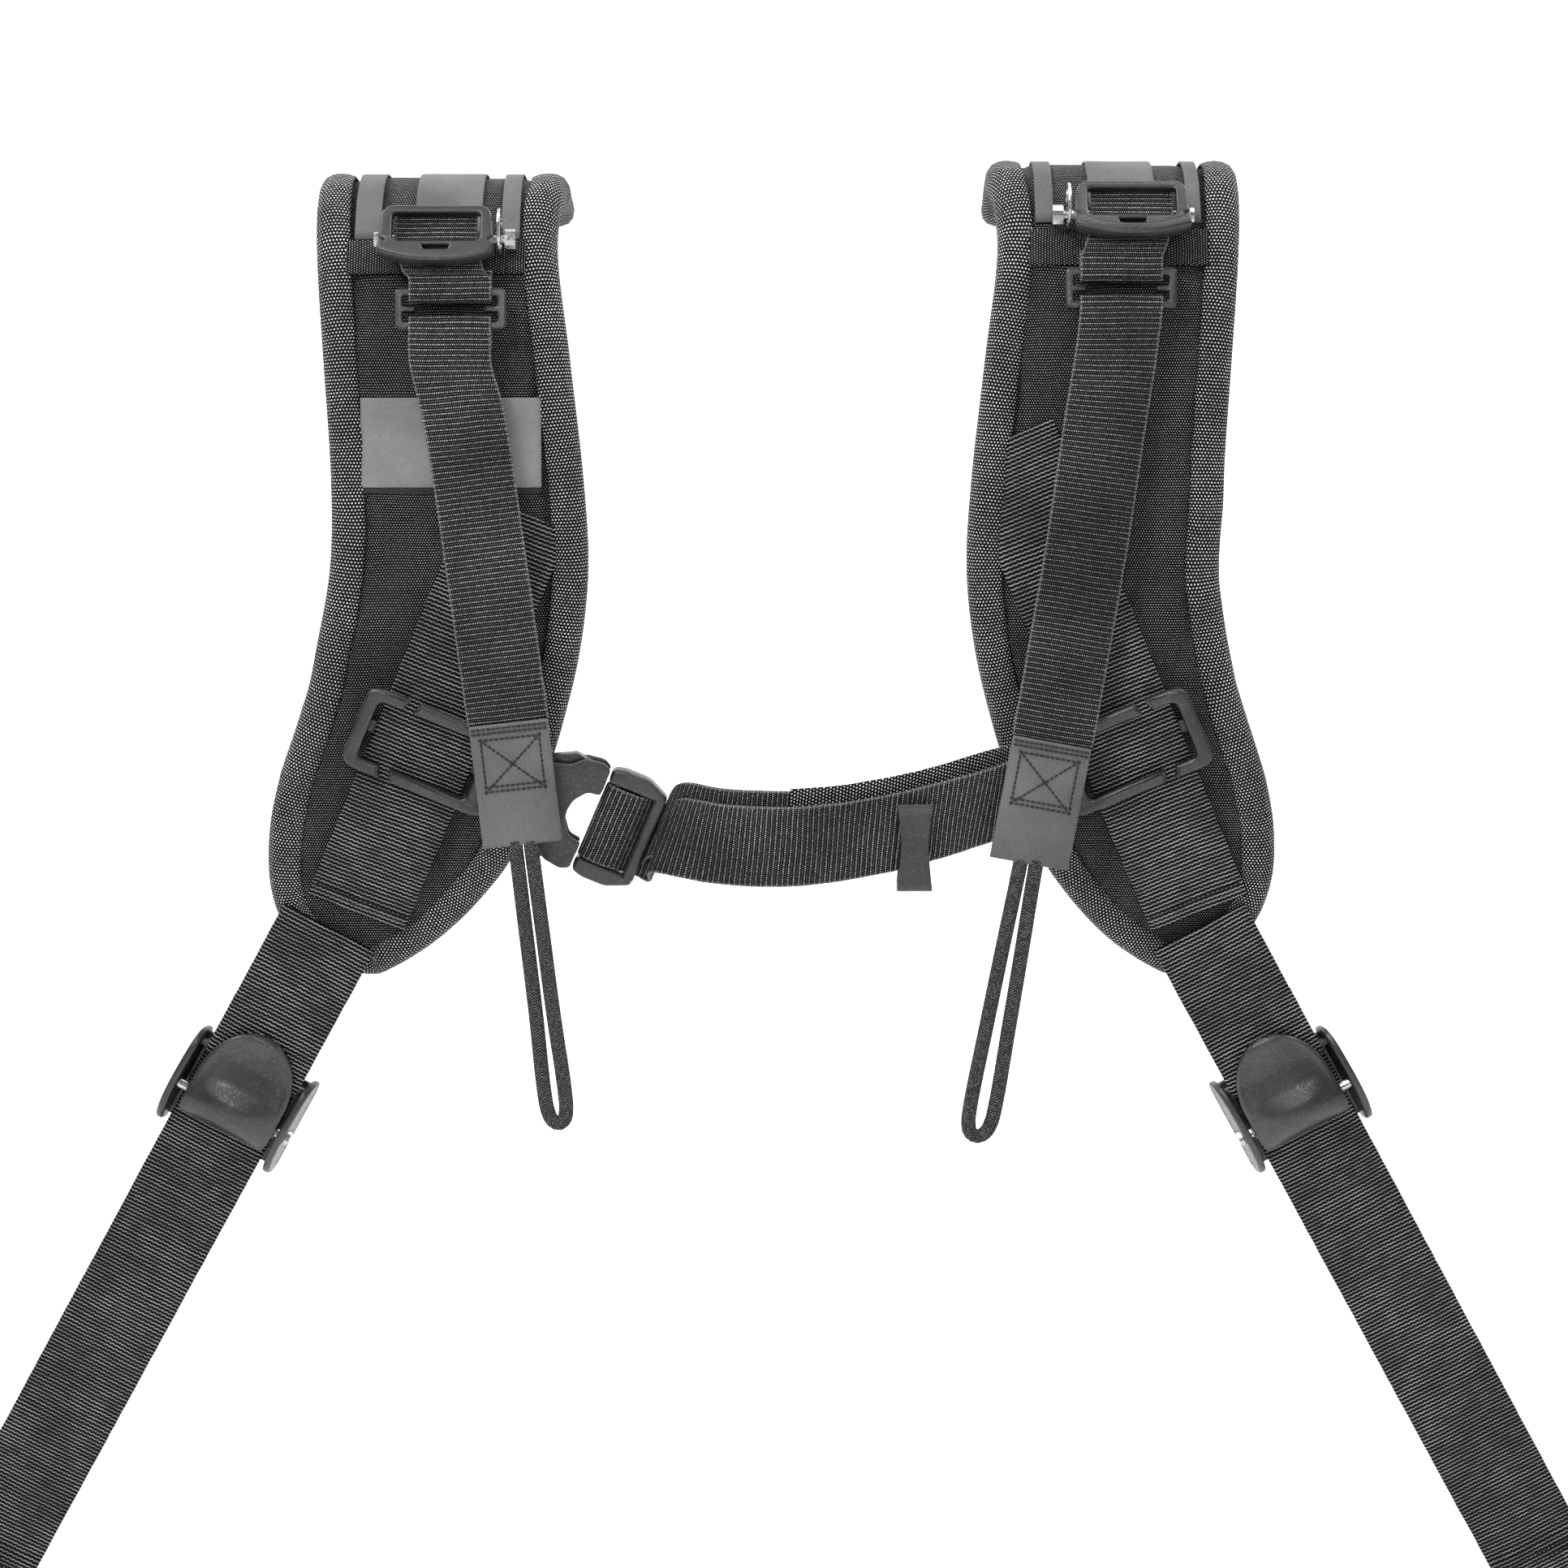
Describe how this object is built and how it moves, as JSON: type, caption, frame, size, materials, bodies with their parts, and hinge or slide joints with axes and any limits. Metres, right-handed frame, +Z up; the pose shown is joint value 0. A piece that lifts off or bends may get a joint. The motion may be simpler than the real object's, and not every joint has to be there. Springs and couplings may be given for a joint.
{
  "type": "binocular chest harness",
  "caption": "Two padded shoulder straps joined by a sternum strap with a side-release buckle, with lifter pull tails on top and cam buckles on the lower straps.",
  "frame": {"origin": "midpoint between the two pads' rear ends, where the harness is held", "axes": "+Z up as worn, -Y to the front (away from the wearer), +X to the viewer's right"},
  "size_m": [0.5537, 0.0988, 0.4752],
  "materials": {
    "pad_cover": "fine-woven near-black polyester over foam",
    "coarse_weave": "coarse ballistic weave, near black",
    "webbing": "flat polyester webbing with a slight sheen",
    "strap_webbing": "ribbed polyester webbing",
    "grey_twill": "matt grey coated twill",
    "braided_cord": "flat braided cord",
    "black_plastic": "grained black moulding",
    "bright_steel": "bright steel",
    "spring_steel": "spring wire"
  },
  "bodies": {
    "pads": {"left_pad": "pad_cover", "left_pad_binding": "coarse_weave", "left_side_tape_outer": "grey_twill", "left_side_tape_inner": "grey_twill", "left_cross_band": "coarse_weave", "left_anchor_webbing": "webbing", "left_clevis_pin": "bright_steel", "left_centre_tab": "grey_twill", "left_upper_strap": "strap_webbing", "left_cam_frame": "black_plastic", "left_cam_pin": "bright_steel", "left_cam_spring": "spring_steel", "right_pad": "pad_cover", "right_pad_binding": "coarse_weave", "right_side_tape_outer": "grey_twill", "right_side_tape_inner": "grey_twill", "right_cross_band": "coarse_weave", "right_anchor_webbing": "webbing", "right_clevis_pin": "bright_steel", "right_centre_tab": "grey_twill", "right_upper_strap": "strap_webbing", "right_cam_frame": "black_plastic", "right_cam_pin": "bright_steel", "right_cam_spring": "spring_steel", "left_label_patch": "grey_twill"},
    "left_lock": {"left_ladder_lock": "black_plastic", "left_lifter_webbing": "webbing", "left_split_bar_slider": "black_plastic"},
    "left_ring": {"left_split_ring": "bright_steel"},
    "left_tail": {"left_lifter_tail": "webbing", "left_pull_tab": "grey_twill", "left_pull_loop": "braided_cord"},
    "left_lever": {"left_cam_lever": "black_plastic"},
    "left_strap": {"left_lower_strap": "strap_webbing"},
    "right_lock": {"right_ladder_lock": "black_plastic", "right_lifter_webbing": "webbing", "right_split_bar_slider": "black_plastic"},
    "right_ring": {"right_split_ring": "bright_steel"},
    "right_tail": {"right_lifter_tail": "webbing", "right_pull_tab": "grey_twill", "right_pull_loop": "braided_cord"},
    "right_lever": {"right_cam_lever": "black_plastic"},
    "right_strap": {"right_lower_strap": "strap_webbing"},
    "right_slider": {"right_sternum_slider": "black_plastic", "sternum_webbing_front_end": "webbing", "sternum_elastic": "coarse_weave"},
    "left_slider": {"left_sternum_slider": "black_plastic"},
    "strap": {"sternum_webbing_front": "webbing", "sternum_webbing_rear": "webbing"},
    "tongue": {"buckle_tongue": "black_plastic"},
    "arm_upper": {"buckle_arm_upper": "black_plastic"},
    "arm_lower": {"buckle_arm_lower": "black_plastic"},
    "keeper": {"keeper_clip": "black_plastic"}
  },
  "joints": [
    {"name": "left_lock_swing", "type": "hinge", "parent": "pads", "child": "left_lock", "pos_m": [-0.1033, -0.06522, -0.00426], "axis": [-1, 0, 0], "range_deg": [0, 35]},
    {"name": "left_ring_swing", "type": "hinge", "parent": "pads", "child": "left_ring", "pos_m": [-0.0841, -0.06522, -0.00426], "axis": [0, 0.4935, 0.8698], "range_deg": [-4, 11]},
    {"name": "left_tail_swing", "type": "hinge", "parent": "left_lock", "child": "left_tail", "pos_m": [-0.099, -0.07642, -0.02914], "axis": [-1, 0, 0], "range_deg": [0, 40]},
    {"name": "left_cam_lever_lift", "type": "hinge", "parent": "pads", "child": "left_lever", "pos_m": [-0.17319, -0.06846, -0.27777], "axis": [0.8769, 0, -0.4807], "range_deg": [0, 55], "stiffness_Nm_per_rad": 0.03},
    {"name": "left_strap_feed", "type": "slide", "parent": "pads", "child": "left_strap", "axis": [-0.4801, 0.0481, -0.8759], "range_m": [-0.006, 0.018]},
    {"name": "right_lock_swing", "type": "hinge", "parent": "pads", "child": "right_lock", "pos_m": [0.1074, -0.06291, 0.00291], "axis": [-1, 0, 0], "range_deg": [0, 35]},
    {"name": "right_ring_swing", "type": "hinge", "parent": "pads", "child": "right_ring", "pos_m": [0.0882, -0.06291, 0.00291], "axis": [0, -0.5422, -0.8402], "range_deg": [-4, 11]},
    {"name": "right_tail_swing", "type": "hinge", "parent": "right_lock", "child": "right_tail", "pos_m": [0.104, -0.07555, -0.02293], "axis": [-1, 0, 0], "range_deg": [0, 40]},
    {"name": "right_cam_lever_lift", "type": "hinge", "parent": "pads", "child": "right_lever", "pos_m": [0.16467, -0.06845, -0.27789], "axis": [0.8786, 0, 0.4775], "range_deg": [0, 55], "stiffness_Nm_per_rad": 0.03},
    {"name": "right_strap_feed", "type": "slide", "parent": "pads", "child": "right_strap", "axis": [0.4769, 0.0482, -0.8776], "range_m": [-0.006, 0.018]},
    {"name": "right_slider_slide", "type": "slide", "parent": "pads", "child": "right_slider", "axis": [0.3907, 0.055, -0.9189], "range_m": [-0.01, 0.01]},
    {"name": "left_slider_slide", "type": "slide", "parent": "pads", "child": "left_slider", "axis": [-0.3907, 0.055, -0.9189], "range_m": [-0.01, 0.01]},
    {"name": "sternum_stretch", "type": "slide", "parent": "right_slider", "child": "strap", "axis": [1, 0, 0], "range_m": [-0.009, 0.009], "deforming": ["sternum_elastic", "sternum_webbing_front_end"]},
    {"name": "buckle_release", "type": "slide", "parent": "strap", "child": "tongue", "axis": [0.9205, 0.0234, -0.39], "range_m": [0, 0.024], "deforming": ["sternum_webbing_front", "sternum_webbing_rear"]},
    {"name": "buckle_squeeze_upper", "type": "hinge", "parent": "tongue", "child": "arm_upper", "pos_m": [-0.05338, -0.0814, -0.17035], "axis": [0, -0.9982, -0.0598], "range_deg": [0, 7], "stiffness_Nm_per_rad": 0.1},
    {"name": "buckle_squeeze_lower", "type": "hinge", "parent": "tongue", "child": "arm_lower", "pos_m": [-0.06189, -0.0802, -0.19038], "axis": [0, -0.9982, -0.0598], "range_deg": [-7, 0], "stiffness_Nm_per_rad": 0.1},
    {"name": "keeper_slide", "type": "slide", "parent": "strap", "child": "keeper", "axis": [0.9553, 0.2091, 0.2091], "range_m": [-0.006, 0.008]}
  ],
  "couplings": [
    {"joint": "left_slider_slide", "follows": "right_slider_slide", "ratio": 1},
    {"joint": "sternum_stretch", "follows": "right_slider_slide", "ratio": -0.78146},
    {"joint": "buckle_squeeze_lower", "follows": "buckle_squeeze_upper", "ratio": -1}
  ]
}
